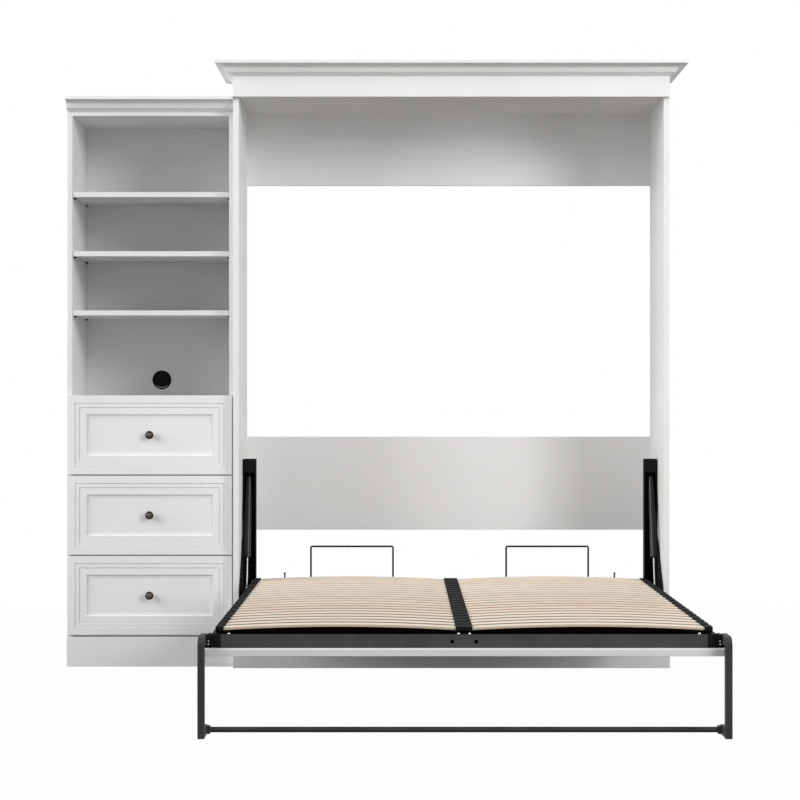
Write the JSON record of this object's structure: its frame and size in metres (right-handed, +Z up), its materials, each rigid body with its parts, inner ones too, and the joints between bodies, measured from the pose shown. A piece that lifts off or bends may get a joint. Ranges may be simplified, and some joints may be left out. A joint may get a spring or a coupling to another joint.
{
  "type": "wall bed",
  "caption": "White wall bed with crown mouldings, a fold-down slatted frame on gas springs and a swinging leg, joined to a shelf unit with moulded drawers.",
  "frame": {"origin": "centre of the bed cabinet's plinth board, at floor level", "axes": "+X to the right seen from the room, +Y towards the wall, +Z up"},
  "size_m": [2.313, 2.24, 2.254],
  "materials": {
    "white_laminate": "satin white laminate",
    "black_steel": "black powder coat",
    "grey_steel": "dark grey powder coat",
    "zinc_steel": "zinc plated",
    "chromed_steel": "hard chrome",
    "black_plastic": "matt moulded",
    "white_plastic": "matt moulded",
    "beech": "lacquered beech",
    "bronze": "dark bronze"
  },
  "bodies": {
    "cabinet": {"bed_side_left": "white_laminate", "bed_side_right": "white_laminate", "bed_top": "white_laminate", "bed_fascia": "white_laminate", "bed_crown_front": "white_laminate", "bed_crown_returns": "white_laminate", "bed_upper_back": "white_laminate", "bed_headboard": "white_laminate", "bed_lower_rail": "white_laminate", "bed_plinth": "white_laminate", "mechanism_plates": "black_steel", "uprights": "black_steel", "upright_caps": "black_steel", "mechanism_pins": "black_steel", "plate_bolts": "black_steel", "unit_side_left": "white_laminate", "unit_side_right": "white_laminate", "unit_top": "white_laminate", "unit_deck": "white_laminate", "unit_bottom": "white_laminate", "unit_plinth": "white_laminate", "unit_crown": "white_laminate", "unit_back": "white_laminate", "unit_shelves": "white_laminate", "shelf_pins": "black_plastic", "back_screws": "white_plastic", "cable_ring": "black_plastic", "cabinet_runners": "zinc_steel"},
    "bed": {"side_rail_left": "black_steel", "side_rail_right": "black_steel", "front_rail": "grey_steel", "head_rail": "black_steel", "centre_rail": "black_steel", "door_panel": "white_laminate", "slats_left": "beech", "slats_right": "beech", "slat_holders": "black_plastic", "mattress_stops": "black_steel", "head_pins": "black_steel", "frame_bolts": "zinc_steel", "leg_brackets": "black_steel"},
    "leg": {"leg_arms": "grey_steel", "leg_crossbar": "grey_steel"},
    "gas_cylinder_left": {"gas_cylinder_left": "black_steel"},
    "gas_rod_left": {"gas_rod_left": "chromed_steel"},
    "gas_cylinder_right": {"gas_cylinder_right": "black_steel"},
    "gas_rod_right": {"gas_rod_right": "chromed_steel"},
    "drawer_1": {"drawer_front_1": "white_laminate", "drawer_box_1": "white_laminate", "drawer_knob_1": "bronze", "drawer_runners_1": "zinc_steel"},
    "drawer_2": {"drawer_front_2": "white_laminate", "drawer_box_2": "white_laminate", "drawer_knob_2": "bronze", "drawer_runners_2": "zinc_steel"},
    "drawer_3": {"drawer_front_3": "white_laminate", "drawer_box_3": "white_laminate", "drawer_knob_3": "bronze", "drawer_runners_3": "zinc_steel"},
    "cable_cap": {"cable_cap": "black_plastic"}
  },
  "joints": [
    {"name": "bed_fold", "type": "hinge", "parent": "cabinet", "child": "bed", "pos_m": [0, 0.0555, 0.2805], "axis": [-1, 0, 0], "range_deg": [0, 90]},
    {"name": "leg_swing", "type": "hinge", "parent": "bed", "child": "leg", "pos_m": [0, -1.6685, 0.286], "axis": [-1, 0, 0], "range_deg": [0, 180]},
    {"name": "gas_cylinder_left_swing", "type": "hinge", "parent": "cabinet", "child": "gas_cylinder_left", "pos_m": [-0.768, 0.2345, 0.719], "axis": [-1, 0, 0], "range_deg": [-1, 1]},
    {"name": "gas_rod_left_swing", "type": "hinge", "parent": "bed", "child": "gas_rod_left", "pos_m": [-0.768, 0.0855, 0.2885], "axis": [-1, 0, 0], "range_deg": [-90, 0]},
    {"name": "gas_cylinder_right_swing", "type": "hinge", "parent": "cabinet", "child": "gas_cylinder_right", "pos_m": [0.768, 0.2345, 0.719], "axis": [-1, 0, 0], "range_deg": [-1, 1]},
    {"name": "gas_rod_right_swing", "type": "hinge", "parent": "bed", "child": "gas_rod_right", "pos_m": [0.768, 0.0855, 0.2885], "axis": [-1, 0, 0], "range_deg": [-90, 0]},
    {"name": "drawer_1_slide", "type": "slide", "parent": "cabinet", "child": "drawer_1", "axis": [0, -1, 0], "range_m": [0, 0.3]},
    {"name": "drawer_2_slide", "type": "slide", "parent": "cabinet", "child": "drawer_2", "axis": [0, -1, 0], "range_m": [0, 0.3]},
    {"name": "drawer_3_slide", "type": "slide", "parent": "cabinet", "child": "drawer_3", "axis": [0, -1, 0], "range_m": [0, 0.3]},
    {"name": "cable_cap_turn", "type": "hinge", "parent": "cabinet", "child": "cable_cap", "pos_m": [-1.1255, 0.4575, 1.076], "axis": [0, 1, 0], "continuous": true}
  ],
  "couplings": [
    {"joint": "gas_cylinder_left_swing", "follows": "bed_fold", "ratio": 0.003},
    {"joint": "gas_rod_left_swing", "follows": "bed_fold", "ratio": -0.997},
    {"joint": "gas_cylinder_right_swing", "follows": "bed_fold", "ratio": 0.003},
    {"joint": "gas_rod_right_swing", "follows": "bed_fold", "ratio": -0.997}
  ]
}
